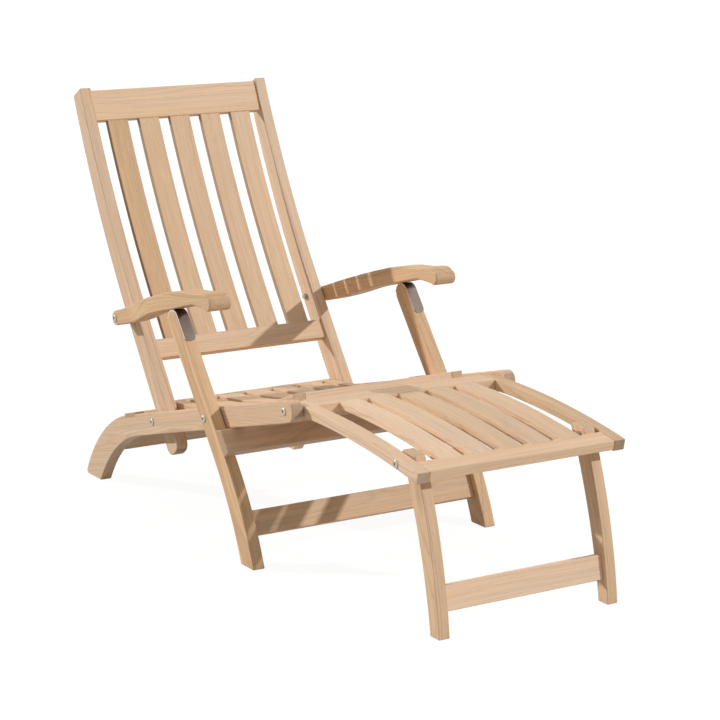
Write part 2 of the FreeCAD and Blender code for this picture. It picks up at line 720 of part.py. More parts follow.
def back_rail_parts(start, height, inset):
    """A cross rail of the backrest from start upwards, with its tenons."""
    place = start + height / 2
    direction = back_direction(place)
    offset = back_half(place) - inset - BACK_RAIL_THICKNESS / 2
    return stretcher(back_point(place, offset), direction, height, BACK_RAIL_THICKNESS, LANE_IN)


def back_slat(place):
    """A slat that follows the stiles' curve, let into the top and bottom rails."""
    start = BACK_BOTTOM_RAIL_START + BACK_BOTTOM_RAIL_HEIGHT - SLAT_HOUSING
    end = BACK_LENGTH - BACK_TOP_RAIL_DROP - BACK_TOP_RAIL_HEIGHT + SLAT_HOUSING
    rear = BACK_SLAT_REAR
    front = BACK_SLAT_REAR + BACK_SLAT_THICKNESS
    middle = (BACK_STRAIGHT + end) / 2
    edges = [
        line(back_point(start, front), back_point(BACK_STRAIGHT, front)),
        arc(back_point(BACK_STRAIGHT, front), back_point(middle, front), back_point(end, front)),
        line(back_point(end, front), back_point(end, rear)),
        arc(back_point(end, rear), back_point(middle, rear), back_point(BACK_STRAIGHT, rear)),
        line(back_point(BACK_STRAIGHT, rear), back_point(start, rear)),
        line(back_point(start, rear), back_point(start, front)),
    ]
    return eased(bar(edges, *place))


def spline(points, start, end):
    """A smooth curve through the points with these directions at its two ends."""
    curve = Part.BSplineCurve()
    curve.interpolate(points, InitialTangent=start, FinalTangent=end)
    return curve.toShape()


def arm_groove():
    """Start and end of the groove along the arm."""
    tongue = leg_top() + heading(TONGUE_LEAN) * TONGUE_REACH
    along = (tongue - ARM_BOLT).dot(heading(180.0 - ARM_RISE))
    return along - ARM_GROOVE_BEHIND, ARM_LENGTH - ARM_GROOVE_TO_NOSE


def arm_profile():
    """Side view of the arm: round end at the bolt, gentle arch, drooping nose."""
    forward = heading(180.0 - ARM_RISE)
    drooping = heading(240.0 - ARM_RISE)
    backward = heading(30.0 - ARM_RISE)
    flat = -ARM_UNDERSIDE
    end = ARM_END_RADIUS
    nose = ARM_LENGTH
    groove_start, groove_end = arm_groove()
    top = [(0, end), (90, ARM_TOP - 8), (200, ARM_TOP - 2), (290, ARM_TOP), (370, ARM_TOP - 3.5),
           (nose - 56, ARM_TOP - 14), (nose - 10, 1)]
    front = [(nose - 17, -28), (nose - 42, -18), (nose - 72, flat - 1.5), (groove_end + 12, flat)]
    rear = [(groove_start - 12, flat), (150, flat - 6), (76, flat - 9.5), (0, -end)]
    top_points = [arm_frame(along, up) for along, up in top]
    front_points = [arm_frame(along, up) for along, up in front]
    rear_points = [arm_frame(along, up) for along, up in rear]
    return [
        arc(arm_frame(0, -end), arm_frame(-end, 0), arm_frame(0, end)),
        spline(top_points, forward, drooping),
        arc(top_points[-1], arm_frame(nose, -16), front_points[0]),
        spline(front_points, backward, forward * -1),
        line(front_points[-1], rear_points[0]),
        spline(rear_points, forward * -1, forward * -1),
    ]


def arm_plan():
    """Top view of the left arm, drawn flat along the arm: narrow at the bolt, wide in front."""
    forward = heading(180.0 - ARM_RISE)
    inner_front = ARM_IN + ARM_FRONT_INSET
    outer_front = inner_front + ARM_FRONT_WIDTH
    outer_rear = ARM_IN + ARM_REAR_THICKNESS
    behind = -2 * ARM_END_RADIUS
    ahead = 1.1 * ARM_LENGTH

    def at(along, x):
        return V(-x, 0, 0) + forward * along + ARM_BOLT

    outer = [at(60, outer_rear), at(110, outer_rear + 6), at(190, outer_front - 4),
             at(270, outer_front)]
    inner = [at(270, inner_front), at(150, ARM_IN + 4), at(60, ARM_IN)]
    return [
        line(at(behind, ARM_IN), at(behind, outer_rear)),
        line(at(behind, outer_rear), outer[0]),
        spline(outer, forward, forward),
        line(outer[-1], at(ahead, outer_front)),
        line(at(ahead, outer_front), at(ahead, inner_front)),
        line(at(ahead, inner_front), inner[0]),
        spline(inner, forward * -1, forward * -1),
        line(inner[-1], at(behind, ARM_IN)),
    ]


def arm():
    """The left arm: the side view crossed with the top view, and the groove in its underside."""
    outline = bar(arm_profile(), -LEG_OUT - 60, -ARM_IN + 60)
    up = heading(90.0 - ARM_RISE)
    plan = Part.Face(Part.Wire(arm_plan()))
    plan.translate(up * -80.0)
    shape = outline.common(plan.extrude(up * 160.0))
    shape = shape.makeFillet(ARM_EASE, sharp_edges(shape))
    middle = (LEG_OUT + LEG_IN) / 2
    half = ARM_GROOVE_WIDTH / 2
    roof = ARM_GROOVE_DEPTH - ARM_UNDERSIDE
    start, end = arm_groove()
    corners = [(arm_frame(start, -60), 0), (arm_frame(end, -60), 0),
               (arm_frame(end, roof), 4.0), (arm_frame(start, roof), 4.0)]
    groove = bar(rounded(corners), -middle - half, -middle + half)
    return drilled(shape.cut(groove), [ARM_BOLT])


# Footrest, laid out from its bolt: forwards to the front, up to its top surface
def footrest_point(forward, depth=0.0):
    """A point of the footrest's surface, or of the curve that lies deeper below it."""
    top = FOOTREST_BOLT.z + FOOTREST_ABOVE
    y = FOOTREST_BOLT.y - forward
    if forward <= FOOTREST_FLAT:
        return V(0, y, top - depth)
    angle = (forward - FOOTREST_FLAT) / FOOTREST_CURVE_RADIUS
    radius = FOOTREST_CURVE_RADIUS - depth
    centre_y = FOOTREST_BOLT.y - FOOTREST_FLAT
    centre_z = top - FOOTREST_CURVE_RADIUS
    return V(0, centre_y - radius * sin(angle), centre_z + radius * cos(angle))


def footrest_layer(start, end, top, bottom, x_low, x_high):
    """A board of the footrest from start to end, between two depths, flat and then curved."""
    if end <= FOOTREST_FLAT:
        corners = [footrest_point(start, top), footrest_point(end, top),
                   footrest_point(end, bottom), footrest_point(start, bottom)]
        return bar(plain(corners), x_low, x_high)
    edges = []
    bend = max(start, FOOTREST_FLAT)
    middle = (bend + end) / 2
    if start < bend:
        edges.append(line(footrest_point(start, top), footrest_point(bend, top)))
    edges.append(arc(footrest_point(bend, top), footrest_point(middle, top),
                     footrest_point(end, top)))
    edges.append(line(footrest_point(end, top), footrest_point(end, bottom)))
    edges.append(arc(footrest_point(end, bottom), footrest_point(middle, bottom),
                     footrest_point(bend, bottom)))
    if start < bend:
        edges.append(line(footrest_point(bend, bottom), footrest_point(start, bottom)))
    edges.append(line(footrest_point(start, bottom), footrest_point(start, top)))
    return bar(edges, x_low, x_high)


def footrest_leg_bolt():
    return footrest_point(FOOTREST_LEG_PLACE, FOOTREST_ABOVE)


def footrest_rail():
    board = footrest_layer(-FOOTREST_BEHIND, FOOTREST_LENGTH, 0, FOOTREST_RAIL_DEPTH,
                           -LANE_OUT, -LANE_IN)
    rear = FOOTREST_BOLT.y + FOOTREST_BEHIND
    ends = [e for e in board.Edges if e.BoundBox.XLength > BOARD / 2
            and abs(e.BoundBox.Center.y - rear) < 0.1]
    return eased(board.makeFillet(FOOTREST_RAIL_DEPTH * 0.4, ends))


def footrest_rail_bolt_hole(rail):
    """The blind hole that the footrest bolt turns in."""
    radius = BOLT_RADIUS + RUNNING_CLEARANCE
    rail = rail.cut(rod(FOOTREST_BOLT, radius, -LANE_OUT - 1, -LANE_IN - 3.0))
    return drilled(rail, [footrest_leg_bolt()])


def footrest_cross_parts(start, end):
    """A cross rail of the footrest, with its tenons towards its front side."""
    body = eased(footrest_layer(start, end, 0, FOOTREST_CROSS_THICKNESS, -LANE_IN, LANE_IN))
    width = end - start
    centre = footrest_point(start + width * 0.7, FOOTREST_CROSS_THICKNESS / 2)
    direction = (footrest_point(end) - footrest_point(start + width / 2)).normalize()
    reach = LANE_IN + TENON
    tenon = block(centre, direction, width * 0.4, FOOTREST_CROSS_THICKNESS * 0.45, -reach, reach)
    return body.fuse(tenon).removeSplitter(), tenon


def footrest_slat_board(place, top):
    start = FOOTREST_REAR_RAIL_WIDTH - FOOTREST_BEHIND - SLAT_HOUSING
    end = FOOTREST_LENGTH - FOOTREST_FRONT_RAIL_WIDTH + SLAT_HOUSING
    return footrest_layer(start, end, top, FOOTREST_SLAT_THICKNESS, *place)


def footrest_slat(place):
    return eased(footrest_slat_board(place, 0))


def footrest_batten():
    start = FOOTREST_BATTEN_PLACE - FOOTREST_BATTEN_WIDTH / 2
    end = FOOTREST_BATTEN_PLACE + FOOTREST_BATTEN_WIDTH / 2
    reach = seat_slat_places()[-1][1] - FOOTREST_BATTEN_INSET
    low = FOOTREST_SLAT_THICKNESS + FOOTREST_BATTEN_THICKNESS
    return eased(footrest_layer(start, end, FOOTREST_SLAT_THICKNESS, low, -reach, reach))


def footrest_leg_line():
    """Top, middle and foot of the footrest leg's bowed middle line."""
    top = footrest_leg_bolt()
    foot = V(0, top.y - FOOTREST_LEG_KICK, 0)
    chord = (foot - top).normalize()
    middle = (top + foot) / 2 - left_of(chord) * FOOTREST_LEG_BOW
    return top, middle, foot


def footrest_leg():
    top, middle, foot = footrest_leg_line()
    start = (middle - top).normalize()
    end = (foot - middle).normalize()
    below = foot + end * 30.0
    chord = (foot - top).normalize()
    across = left_of(chord)
    first = left_of(heading(2 * angle_of(start) - angle_of(chord)))
    last = left_of(heading(2 * angle_of(end) - angle_of(chord)))
    side = first * FOOTREST_LEG_HALF_TOP
    rear_top = top + side + left_of(first) * FOOTREST_LEG_REAR_TOP
    front_top = top - side + left_of(first) * FOOTREST_LEG_FRONT_TOP
    edges = [
        line(rear_top, top + side),
        arc(top + side, middle + across * FOOTREST_LEG_HALF_MID,
            below + last * FOOTREST_LEG_HALF_FOOT),
        line(below + last * FOOTREST_LEG_HALF_FOOT, below - last * FOOTREST_LEG_HALF_FOOT),
        arc(below - last * FOOTREST_LEG_HALF_FOOT, middle - across * FOOTREST_LEG_HALF_MID,
            top - side),
        line(top - side, front_top),
        line(front_top, rear_top),
    ]
    board = above_floor(bar(edges, -FOOT_OUT, -FOOT_IN))
    corners = [e for e in board.Edges if e.BoundBox.XLength > FOOTREST_LEG_THICKNESS / 2
               and min((e.BoundBox.Center - V(e.BoundBox.Center.x, p.y, p.z)).Length
                       for p in (rear_top, front_top)) < 0.1]
    return eased(board.makeFillet(FOOTREST_LEG_TOP_RADIUS, corners))


def footrest_stretcher_parts():
    top, middle, foot = footrest_leg_line()
    lower = (foot - middle).normalize()
    place = meet(middle, lower, V(0, 0, FOOTREST_STRETCHER_HEIGHT), V(0, 1, 0))
    place = place - left_of(lower) * 1.5
    return stretcher(place, lower, FOOTREST_STRETCHER_DEPTH, FOOTREST_STRETCHER_THICKNESS, FOOT_IN)


def build_base(nodes):
    stretcher_board, stretcher_tenon = rear_stretcher_parts()
    bar_across = tie_bar()
    rear_bearer, rear_bearer_tenon = bearer_parts(REAR_BEARER_PLACE)
    front_bearer, front_bearer_tenon = bearer_parts(SEAT_FRONT - FRONT_BEARER_SETBACK)
    cutters = [stretcher_tenon, bar_across, rear_bearer_tenon, front_bearer_tenon]
    left = side_rail([LEG_BOLT, BACK_BOLT, FOOTREST_BOLT], cutters)
    nodes["side_rail_left"] = [left]
    nodes["side_rail_right"] = [mirrored(left)]
    nodes["tie_bar"] = [bar_across]
    nodes["rear_stretcher"] = [stretcher_board]
    nodes["seat_bearers"] = [rear_bearer, front_bearer]

    slats = [seat_slat(place) for place in seat_slat_places()]
    housings = [seat_slat_board(place, -HOUSING_OVERRUN) for place in seat_slat_places()]
    rear, rear_tenon = seat_rail_parts(SEAT_REAR, SEAT_REAR + SEAT_REAR_RAIL_WIDTH)
    front, front_tenon = seat_rail_parts(SEAT_FRONT - SEAT_FRONT_RAIL_WIDTH, SEAT_FRONT)
    frame_side = seat_side().cut(rear_tenon).cut(front_tenon)
    nodes["seat_side_left"] = [frame_side]
    nodes["seat_side_right"] = [mirrored(frame_side)]
    nodes["seat_rear_rail"] = [rear.cut(housings)]
    nodes["seat_front_rail"] = [front.cut(housings)]
    length = SEAT_FRONT - SEAT_REAR
    nodes["seat_battens"] = [seat_batten(SEAT_REAR + length * share)
                             for share in (REAR_BATTEN_SHARE, FRONT_BATTEN_SHARE)]
    for i, slat in enumerate(slats):
        nodes[f"seat_slat_{i + 1}"] = [slat]

    nodes["leg_pivot_bolts"] = pair(
        lambda side: bolt(LEG_BOLT, LEG_OUT + SIDE_CLEARANCE, RAIL_IN - NUT_THICKNESS - 1, side))
    nodes["leg_pivot_nuts"] = pair(lambda side: nut(LEG_BOLT, RAIL_IN, side))
    nodes["footrest_pivot_bolts"] = pair(
        lambda side: bolt(FOOTREST_BOLT, RAIL_OUT, LANE_IN + 3.5, side))
    nodes["base_washers"] = (
        pair(lambda side: washer(LEG_BOLT, RAIL_OUT, LEG_IN, WASHER_RADIUS, side))
        + pair(lambda side: washer(FOOTREST_BOLT, LANE_OUT, RAIL_IN, WASHER_RADIUS, side)))


def build_backrest(nodes):
    low, low_tenon = back_rail_parts(BACK_BOTTOM_RAIL_START, BACK_BOTTOM_RAIL_HEIGHT,
                                     BACK_BOTTOM_RAIL_INSET)
    top_start = BACK_LENGTH - BACK_TOP_RAIL_DROP - BACK_TOP_RAIL_HEIGHT
    high, high_tenon = back_rail_parts(top_start, BACK_TOP_RAIL_HEIGHT, BACK_TOP_RAIL_INSET)
    slats = [back_slat(place) for place in back_slat_places()]
    left = drilled(stile().cut(low_tenon).cut(high_tenon), [BACK_BOLT, ARM_BOLT])
    nodes["back_stile_left"] = [left]
    nodes["back_stile_right"] = [mirrored(left)]
    nodes["back_top_rail"] = [high.cut(slats)]
    nodes["back_bottom_rail"] = [low.cut(slats)]
    for i, slat in enumerate(slats):
        nodes[f"back_slat_{i + 1}"] = [slat]
    nodes["back_pivot_bolts"] = pair(
        lambda side: bolt(BACK_BOLT, RAIL_OUT + SIDE_CLEARANCE, LANE_IN - NUT_THICKNESS - 0.5, side))
    nodes["back_pivot_nuts"] = pair(lambda side: nut(BACK_BOLT, LANE_IN - SIDE_CLEARANCE, side))
    nodes["back_pivot_washers"] = pair(
        lambda side: washer(BACK_BOLT, LANE_OUT, RAIL_IN, WASHER_RADIUS, side))


def build_arms(nodes):
    left = arm()
    nodes["arm_left"] = [left]
    nodes["arm_right"] = [mirrored(left)]
    outer = ARM_IN + ARM_REAR_THICKNESS
    nodes["arm_pivot_bolts"] = pair(
        lambda side: bolt(ARM_BOLT, outer + SIDE_CLEARANCE, LANE_IN - NUT_THICKNESS - 1, side))
    nodes["arm_pivot_nuts"] = pair(lambda side: nut(ARM_BOLT, LANE_IN - SIDE_CLEARANCE, side))
    nodes["arm_pivot_washers"] = pair(
        lambda side: washer(ARM_BOLT, LANE_OUT, ARM_IN, WASHER_RADIUS, side))


def build_front_legs(nodes):
    board, tenon = front_stretcher_parts()
    leg = eased(above_floor(bar(front_leg_outline(), -LEG_OUT, -LEG_IN)))
    brackets = pair(bracket)
    leg = drilled(leg.cut(tenon).cut(brackets[0]), [LEG_BOLT])
    nodes["front_leg_left"] = [leg]
    nodes["front_leg_right"] = [mirrored(leg)]
    nodes["front_stretcher"] = [board]
    nodes["stop_board"] = [stop_board()]
    nodes["arm_brackets"] = brackets
    nodes["leg_stops"] = pair(leg_stop)


def build_footrest(nodes):
    slats = [footrest_slat(place) for place in seat_slat_places()]
    housings = [footrest_slat_board(place, -HOUSING_OVERRUN) for place in seat_slat_places()]
    rear, rear_tenon = footrest_cross_parts(-FOOTREST_BEHIND,
                                            FOOTREST_REAR_RAIL_WIDTH - FOOTREST_BEHIND)
    front, front_tenon = footrest_cross_parts(FOOTREST_LENGTH - FOOTREST_FRONT_RAIL_WIDTH,
                                              FOOTREST_LENGTH)
    left = footrest_rail_bolt_hole(footrest_rail().cut(rear_tenon).cut(front_tenon))
    nodes["footrest_rail_left"] = [left]
    nodes["footrest_rail_right"] = [mirrored(left)]
    nodes["footrest_rear_rail"] = [rear.cut(housings)]
    nodes["footrest_front_rail"] = [front.cut(housings)]
    nodes["footrest_batten"] = [footrest_batten()]
    for i, slat in enumerate(slats):
        nodes[f"footrest_slat_{i + 1}"] = [slat]
    centre = footrest_leg_bolt()
    nodes["footrest_leg_bolts"] = pair(
        lambda side: bolt(centre, LANE_OUT, FOOT_IN - NUT_THICKNESS - 1, side))
    nodes["footrest_leg_nuts"] = pair(lambda side: nut(centre, FOOT_IN - SIDE_CLEARANCE, side))
    nodes["footrest_leg_spacers"] = pair(
        lambda side: washer(centre, FOOT_OUT, LANE_IN, WASHER_RADIUS * 0.75, side))


def build_footrest_legs(nodes):
    board, tenon = footrest_stretcher_parts()
    leg = drilled(footrest_leg().cut(tenon), [footrest_leg_bolt()])
    nodes["footrest_leg_left"] = [leg]
    nodes["footrest_leg_right"] = [mirrored(leg)]
    nodes["footrest_stretcher"] = [board]


def main():
    nodes = {}
    for build in (build_base, build_backrest, build_arms, build_front_legs, build_footrest,
                  build_footrest_legs):
        build(nodes)
    everything = Part.makeCompound([s for solids in nodes.values() for s in solids])
    box = everything.optimalBoundingBox(False, False)
    shift = V(-(box.XMin + box.XMax) / 2, -(box.YMin + box.YMax) / 2, -box.ZMin)
    for name, solids in nodes.items():
        shape = solids[0] if len(solids) == 1 else Part.makeCompound(solids)
        shape.translate(shift)
        shape.exportStep(f"parts/{name}.step")
        print(name, len(shape.Solids), "solids, volume", round(shape.Volume), shape.isValid())
    print("size", round(box.XLength, 2), round(box.YLength, 2), round(box.ZLength, 2))
    for label, p in (("leg bolt", LEG_BOLT), ("backrest bolt", BACK_BOLT), ("arm bolt", ARM_BOLT),
                     ("footrest bolt", FOOTREST_BOLT), ("footrest leg bolt", footrest_leg_bolt()),
                     ("leg top", leg_top())):
        print(label, round(p.y + shift.y, 3), round(p.z + shift.z, 3))


main()
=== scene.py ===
import json
import math
import random

import bpy
from mathutils import Matrix, Vector


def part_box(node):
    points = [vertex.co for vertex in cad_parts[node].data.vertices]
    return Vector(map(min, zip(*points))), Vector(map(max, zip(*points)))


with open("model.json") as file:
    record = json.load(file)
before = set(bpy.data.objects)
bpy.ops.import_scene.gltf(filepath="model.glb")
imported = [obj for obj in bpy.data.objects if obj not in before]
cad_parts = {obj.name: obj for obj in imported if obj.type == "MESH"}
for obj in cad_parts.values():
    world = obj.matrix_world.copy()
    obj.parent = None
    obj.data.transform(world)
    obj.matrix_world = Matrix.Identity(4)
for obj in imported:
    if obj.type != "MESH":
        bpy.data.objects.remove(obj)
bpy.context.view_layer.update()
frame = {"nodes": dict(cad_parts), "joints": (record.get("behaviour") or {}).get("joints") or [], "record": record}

# Camera, metres and degrees: the viewpoint of the photograph
CAMERA_TARGET = Vector((-0.0054, -0.1262, 0.3910))
CAMERA_AZIMUTH = -32.393
CAMERA_ELEVATION = 13.094
CAMERA_ROLL = 0.488
CAMERA_DISTANCE = 4.8819
CAMERA_LENS = 117.235        # millimetres
CAMERA_SENSOR = 36.0         # millimetres
CAMERA_REACH = 100.0

# Light: two lamps far away and an even white surround, softness in degrees
KEY_TOWARDS = Vector((0.60, -0.62, 0.50))
KEY_STRENGTH = 1.75
KEY_SOFTNESS = 1.3
SIDE_TOWARDS = Vector((-0.64, 0.66, 0.39))
SIDE_STRENGTH = 2.2
SIDE_SOFTNESS = 1.0
SURROUND = 0.36
WHITE = (1, 1, 1, 1)

# Floor
FLOOR_SIZE = 60.0
FLOOR_GLOW = 0.93            # what the camera sees of the floor beside its lit share
FLOOR_LIT = 0.12
FLOOR_BOUNCE = 0.50

# Teak colours, the paler and the more golden of each
LIGHT_WOOD = ((0.800, 0.598, 0.430, 1), (0.828, 0.533, 0.288, 1))
DEEP_WOOD = ((0.470, 0.295, 0.180, 1), (0.485, 0.275, 0.120, 1))
END_WOOD = (0.46, 0.31, 0.19, 1)
END_TINT = 0.55              # share of END_WOOD in end grain
END_SHADE = 0.18             # how much darker end grain is

# Teak pattern: features per metre along the board and twice across it, then its strength
SWAY = (1.6, 4.0, 4.0)
SWAY_REACH = 0.07            # metres that the rings wander
RIPPLE = (11.0, 40.0, 40.0)
RIPPLE_REACH = 0.003
FIBRE = (7.0, 400.0, 400.0)
FIBRE_SHADE = 0.42
STREAK = (2.2, 95.0, 95.0)
STREAK_SHADE = 0.26
BAND = (1.1, 22.0, 22.0)
BAND_WARMTH = 1.1
PORE = (38.0, 1700.0, 1700.0)
PORE_SHADE = 0.22
PORE_LEVELS = (0.60, 0.72)   # noise where a pore begins, and where it is full
PORE_FLOOR = 0.2             # share of the pores that lie outside the dark wood
RING_UNEVEN = 2.4            # rings by which the ring widths differ
RING_DRIFT = 0.45            # how fast they change, per ring
PLAIN_TONE = 0.03            # how far boards without a tone of their own differ
PLAIN_WARMTH = 0.5

# Teak surface
WOOD_ROUGHNESS = 0.5
FIBRE_ROUGHNESS = 0.16
WOOD_GLOSS = 0.35
WOOD_BUMP = {"Strength": 0.35, "Distance": 0.0004}
RING_RELIEF = 0.35
FIBRE_RELIEF = 0.5

# Share of a face's normal along an axis, where it begins to count as facing that way and where
# it counts in full: end grain, the backrest slats' sides (painted shade), the straps' sides and
# lower ends (painted highlight)
END_FACING = (0.7, 0.93)
SHADED_SIDE_FACING = (0.6, 0.9)
HIGHLIGHT_FACING = (0.6, 0.85)

# How dark the wood is through one year's ring, from its start to its end
RING_LEVELS = ((0.0, 0.95), (0.09, 0.55), (0.3, 0.16), (0.7, 0.22), (0.92, 0.45), (1.0, 0.75))

# How each kind of board lies in its log, in metres from the heart: low and high offset across
# the chair, the same across the depth, ring width, strength of the figure, share of the sway
CUTS = {
    "slat": ((0.07, 0.16), (0.010, 0.045), (0.0026, 0.0040), (0.36, 0.52), 0.5),
    "cross": ((0.06, 0.15), (0.050, 0.110), (0.0028, 0.0044), (0.32, 0.48), 0.6),
    "arm": ((0.01, 0.04), (0.030, 0.060), (0.0028, 0.0040), (0.55, 0.70), 0.7),
    "side": ((0.035, 0.07), (0.005, 0.030), (0.0028, 0.0044), (0.50, 0.66), 0.8),
}

CROSS_BOARDS = {
    "tie_bar", "rear_stretcher", "seat_bearers", "seat_rear_rail", "seat_front_rail",
    "seat_battens", "back_top_rail", "back_bottom_rail", "front_stretcher", "stop_board",
    "footrest_rear_rail", "footrest_front_rail", "footrest_batten", "footrest_stretcher",
}

# Boards that are lighter (+) or darker (-) than the rest, and more golden (+) or paler (-): partly the
# boards' own colour, partly painted light and shade, as the darker, more golden front stretcher,
# front legs and arms for the shade they stand in and the lighter footrest stretcher for light
TONES_AND_PAINTED_LIGHT = {
    "back_slat_1": (-0.14, 1.1),
    "back_slat_2": (-0.03, 0.2),
    "back_slat_3": (-0.03, 0.3),
    "back_slat_4": (-0.01, 0.0),
    "back_slat_5": (0.02, -0.1),
    "back_bottom_rail": (0.02, -0.1),
    "back_stile_right": (0.04, -0.6),
    "back_top_rail": (0.06, -0.1),
    "arm_left": (-0.08, 1.2),
    "arm_right": (-0.04, 0.8),
    "front_leg_left": (0.03, 0.9),
    "front_leg_right": (-0.02, 0.7),
    "front_stretcher": (-0.10, 0.2),
    "stop_board": (0.0, -0.7),
    "footrest_slat_1": (0.13, -0.8),
    "footrest_slat_2": (0.03, -0.7),
    "footrest_slat_3": (-0.04, -0.3),
    "footrest_slat_4": (-0.07, -0.2),
    "footrest_slat_5": (0.0, -0.2),
    "footrest_rail_left": (0.09, -0.7),
    "footrest_rail_right": (-0.10, 0.0),
    "footrest_stretcher": (0.16, -0.6),
    "footrest_front_rail": (0.07, -0.2),
    "footrest_leg_left": (-0.02, 0.2),
    "footrest_leg_right": (-0.02, 0.2),
    "seat_front_rail": (0.07, -0.8),
}

# Pieces whose end grain stands out less, as a share of the rest
END_GRAIN = {"arm": 0.35, "footrest_leg": 0.3, "footrest_front_rail": 0.6, "seat_side": 0.4}

# Painted shade: how much darker the sides of the backrest's slats are made, for the shade between the slats
SLAT_SIDE_SHADE = 0.42

# Steel: colour, roughness, brush lines per metre
BRIGHT_STEEL = ((0.50, 0.46, 0.40, 1), 0.20, (900.0, 90.0, 90.0))
# The straps' steel is made far darker than the bolts': painted shade and painted dark reflection, for the shade
# under the arms and the dark surroundings it mirrors
SHADED_STRAP_STEEL = ((0.18, 0.147, 0.128, 1), 0.30, (1400.0, 60.0, 60.0))
# Painted highlight: the lighter colour put on the straps' sides and lower ends
STRAP_EDGE_HIGHLIGHT = (0.72, 0.66, 0.60, 1)
STRAP_END = (0.0, -0.617, -0.787)    # the way the straps' lower ends face
STRAPS = ("arm_brackets", "leg_stops")
CLOUDS = (60.0, 60.0, 60.0)          # stains per metre
STEEL_LEAST = 0.86                   # darkest tint, before lines and stains
STEEL_STAIN = 0.14
STAIN_ROUGHNESS = 0.12
STEEL_BUMP = {"Strength": 0.15, "Distance": 0.0002}


class Tree:
    """Adds nodes to a node tree and links them."""

    def __init__(self, tree):
        self.tree = tree

    def feed(self, socket, value):
        if isinstance(value, bpy.types.NodeSocket):
            self.tree.links.new(value, socket)
        else:
            socket.default_value = value

    def add(self, kind, inputs=(), **settings):
        node = self.tree.nodes.new(kind)
        for name, value in settings.items():
            setattr(node, name, value)
        for key, value in dict(inputs).items():
            self.feed(node.inputs[key], value)
        return node

    def math(self, operation, *values):
        node = self.add("ShaderNodeMath", enumerate(values), operation=operation)
        return node.outputs[0]

    def product(self, first, second):
        return self.math("MULTIPLY", first, second)

    def vector(self, operation, *values):
        node = self.add("ShaderNodeVectorMath", operation=operation)
        slots = [s for s in node.inputs if s.enabled]
        for socket, value in zip(slots, values):
            self.feed(socket, value)
        return next(s for s in node.outputs if s.enabled)

    def triple(self, value):
        """A vector or grey with the value in all three places."""
        return self.add("ShaderNodeCombineXYZ", {0: value, 1: value, 2: value}).outputs[0]

    def parts(self, vector):
        return self.add("ShaderNodeSeparateXYZ", {"Vector": vector}).outputs

    def noise(self, place, per_metre, detail=2.0, roughness=0.5):
        """Noise with the given features per metre: its value and its colour."""
        node = self.add("ShaderNodeTexNoise", {
            "Vector": self.vector("MULTIPLY", place, per_metre), "Scale": 1.0,
            "Detail": detail, "Roughness": roughness})
        return node.outputs["Fac"], node.outputs["Color"]

    def drift(self, place, per_metre, reach, detail):
        """Noise that shifts a place across the board, and not along it."""
        shift = self.vector("SUBTRACT", self.noise(place, per_metre, detail)[1], (0.5, 0.5, 0.5))
        return self.vector("MULTIPLY", shift, (0.0, reach, reach))

    def remap(self, value, low, high):
        """0 up to the low value, 1 from the high value, smooth between."""
        node = self.add("ShaderNodeMapRange",
                        {"Value": value, "From Min": low, "From Max": high},
                        interpolation_type="SMOOTHSTEP")
        return node.outputs["Result"]

    def around_middle(self, value, strength):
        return self.product(self.math("SUBTRACT", value, 0.5), strength)

    def mix(self, factor, first, second, blend="MIX"):
        """The mix node's sockets for colours are 6 and 7, and its colour comes out at 2."""
        node = self.add("ShaderNodeMix", data_type="RGBA", blend_type=blend)
        self.feed(node.inputs[0], factor)
        self.feed(node.inputs[6], first)
        self.feed(node.inputs[7], second)
        return node.outputs[2]


def ring_shade(t, board, given):
    """How dark the year rings make the wood, from rings round a heart that runs along X."""
    sway = t.drift(board, SWAY, SWAY_REACH, detail=1.5)
    sway = t.vector("MULTIPLY", sway, t.triple(given["Sway"]))
    ripple = t.drift(board, RIPPLE, RIPPLE_REACH, detail=2.0)
    log = t.vector("ADD", board, t.vector("ADD", sway, ripple))
    radius = t.vector("LENGTH", t.vector("MULTIPLY", log, (0.0, 1.0, 1.0)))
    rings = t.math("DIVIDE", radius, given["Ring"])
    uneven = t.add("ShaderNodeTexNoise", {"W": rings, "Scale": RING_DRIFT, "Detail": 1.0},
                   noise_dimensions="1D").outputs["Fac"]
    rings = t.math("ADD", rings, t.product(uneven, RING_UNEVEN))
    late = t.add("ShaderNodeValToRGB", {"Fac": t.math("FRACT", rings)})
    late.color_ramp.interpolation = "EASE"
    stops = late.color_ramp.elements
    for place, level in RING_LEVELS[1:-1]:
        stops.new(place)
    for stop, (place, level) in zip(stops, RING_LEVELS):
        stop.color = (level, level, level, 1)
    return late.outputs[0]


